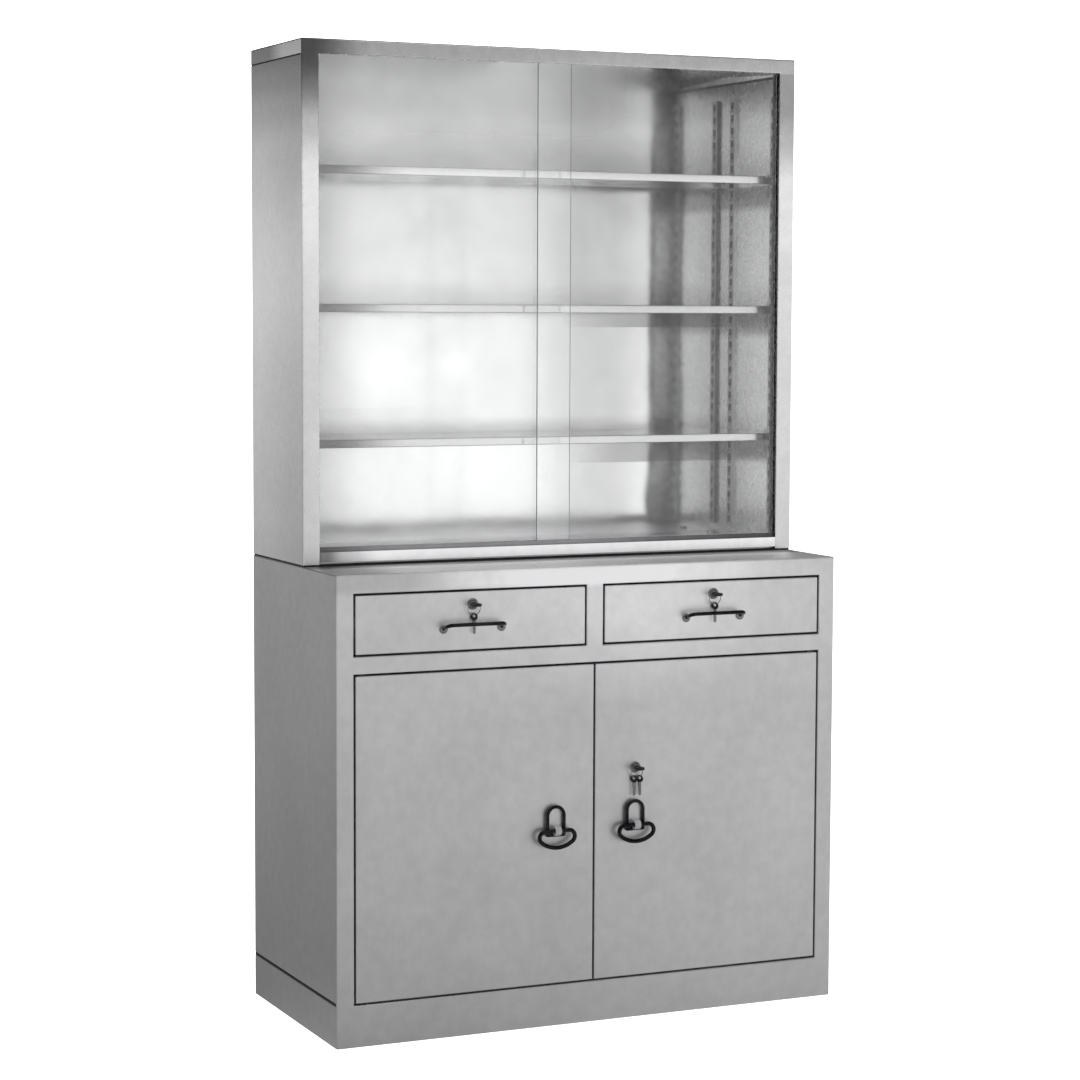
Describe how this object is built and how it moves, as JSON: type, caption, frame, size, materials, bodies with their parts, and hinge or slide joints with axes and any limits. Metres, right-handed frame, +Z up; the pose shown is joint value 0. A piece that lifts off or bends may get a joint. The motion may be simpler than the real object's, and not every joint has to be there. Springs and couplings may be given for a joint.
{
  "type": "medical cabinet",
  "caption": "Two-part stainless steel medical cabinet: glazed upper case with shelves and sliding glass doors on a deeper base with drawers over hinged doors.",
  "frame": {"origin": "on the floor, under the middle of the cabinet's whole outline with its handles and keys", "axes": "+X to the right of someone facing the cabinet, +Y from the front to the back, +Z up"},
  "size_m": [1, 0.478, 1.78],
  "materials": {
    "satin_steel": "fine satin grain, upright",
    "polished_steel": "bright, nearly mirror polished",
    "zinc_steel": "bright zinc plate",
    "standard_steel": "dull zinc plate",
    "aluminium_track": "grey anodised",
    "clear_glass": "clear float glass with ground edges",
    "chrome": "bright chrome plate",
    "key_nickel": "nickel plate with dark bows",
    "brass_bush": "turned",
    "black_plastic": "moulded"
  },
  "bodies": {
    "cabinet": {"plinth": "satin_steel", "base_rail": "satin_steel", "left_stile": "satin_steel", "right_stile": "satin_steel", "middle_rail": "satin_steel", "left_lower_side": "satin_steel", "right_lower_side": "satin_steel", "lower_back": "satin_steel", "lower_floor": "satin_steel", "worktop": "satin_steel", "drawer_divider": "satin_steel", "drawer_partition": "satin_steel", "left_upper_side": "satin_steel", "right_upper_side": "satin_steel", "left_upper_stile": "satin_steel", "right_upper_stile": "satin_steel", "upper_floor": "satin_steel", "upper_top": "satin_steel", "upper_back": "polished_steel", "low_shelf": "polished_steel", "middle_shelf": "polished_steel", "high_shelf": "polished_steel", "lower_shelf": "polished_steel", "runner_brackets": "zinc_steel", "slide_tracks": "zinc_steel", "joining_bolts": "zinc_steel", "shelf_standards": "standard_steel", "top_track": "aluminium_track", "bottom_track": "aluminium_track", "hinge_bushes": "brass_bush", "door_catches": "black_plastic", "shelf_clips": "black_plastic"},
    "left_glass_door": {"left_glass": "clear_glass"},
    "right_glass_door": {"right_glass": "clear_glass"},
    "left_drawer": {"left_drawer_front": "satin_steel", "left_drawer_box": "satin_steel", "left_drawer_runners": "zinc_steel", "left_drawer_handle": "chrome", "left_drawer_lock": "chrome"},
    "right_drawer": {"right_drawer_front": "satin_steel", "right_drawer_box": "satin_steel", "right_drawer_runners": "zinc_steel", "right_drawer_handle": "chrome", "right_drawer_lock": "chrome"},
    "left_door": {"left_door_panel": "satin_steel", "left_door_liner": "satin_steel", "left_pull_mount": "chrome"},
    "right_door": {"right_door_panel": "satin_steel", "right_door_liner": "satin_steel", "right_pull_mount": "chrome", "door_lock": "chrome"},
    "left_pull": {"left_pull_ring": "chrome"},
    "right_pull": {"right_pull_ring": "chrome"},
    "left_drawer_plug": {"left_drawer_key_and_cam": "key_nickel"},
    "right_drawer_plug": {"right_drawer_key_and_cam": "key_nickel"},
    "door_plug": {"door_key_and_cam": "key_nickel"},
    "left_drawer_keys": {"left_drawer_spare_key": "key_nickel"},
    "right_drawer_keys": {"right_drawer_spare_key": "key_nickel"},
    "door_keys": {"door_spare_keys": "key_nickel"}
  },
  "joints": [
    {"name": "left_glass_slide", "type": "slide", "parent": "cabinet", "child": "left_glass_door", "axis": [1, 0, 0], "range_m": [0, 0.43]},
    {"name": "right_glass_slide", "type": "slide", "parent": "cabinet", "child": "right_glass_door", "axis": [1, 0, 0], "range_m": [-0.43, 0]},
    {"name": "left_drawer_slide", "type": "slide", "parent": "cabinet", "child": "left_drawer", "axis": [0, -1, 0], "range_m": [0, 0.3]},
    {"name": "right_drawer_slide", "type": "slide", "parent": "cabinet", "child": "right_drawer", "axis": [0, -1, 0], "range_m": [0, 0.3]},
    {"name": "left_door_hinge", "type": "hinge", "parent": "cabinet", "child": "left_door", "pos_m": [-0.4495, -0.203, 0.075], "axis": [0, 0, -1], "range_deg": [0, 110]},
    {"name": "right_door_hinge", "type": "hinge", "parent": "cabinet", "child": "right_door", "pos_m": [0.4495, -0.203, 0.075], "axis": [0, 0, 1], "range_deg": [0, 110]},
    {"name": "left_pull_swing", "type": "hinge", "parent": "left_door", "child": "left_pull", "pos_m": [-0.08, -0.2245, 0.362], "axis": [-1, 0, 0], "range_deg": [0, 90]},
    {"name": "right_pull_swing", "type": "hinge", "parent": "right_door", "child": "right_pull", "pos_m": [0.08, -0.2245, 0.362], "axis": [-1, 0, 0], "range_deg": [0, 90]},
    {"name": "left_drawer_lock_turn", "type": "hinge", "parent": "left_drawer", "child": "left_drawer_plug", "pos_m": [-0.24175, -0.211, 0.78], "axis": [0, -1, 0], "range_deg": [0, 90]},
    {"name": "right_drawer_lock_turn", "type": "hinge", "parent": "right_drawer", "child": "right_drawer_plug", "pos_m": [0.24175, -0.211, 0.78], "axis": [0, -1, 0], "range_deg": [0, 90]},
    {"name": "door_lock_turn", "type": "hinge", "parent": "right_door", "child": "door_plug", "pos_m": [0.083, -0.211, 0.466], "axis": [0, -1, 0], "range_deg": [0, 90]},
    {"name": "left_drawer_keys_swing", "type": "hinge", "parent": "left_drawer", "child": "left_drawer_keys", "pos_m": [-0.24175, -0.218, 0.78], "axis": [0, 1, 0], "range_deg": [-25, 25]},
    {"name": "right_drawer_keys_swing", "type": "hinge", "parent": "right_drawer", "child": "right_drawer_keys", "pos_m": [0.24175, -0.218, 0.78], "axis": [0, 1, 0], "range_deg": [-25, 25]},
    {"name": "door_keys_swing", "type": "hinge", "parent": "right_door", "child": "door_keys", "pos_m": [0.083, -0.218, 0.466], "axis": [0, 1, 0], "range_deg": [-25, 25]}
  ]
}
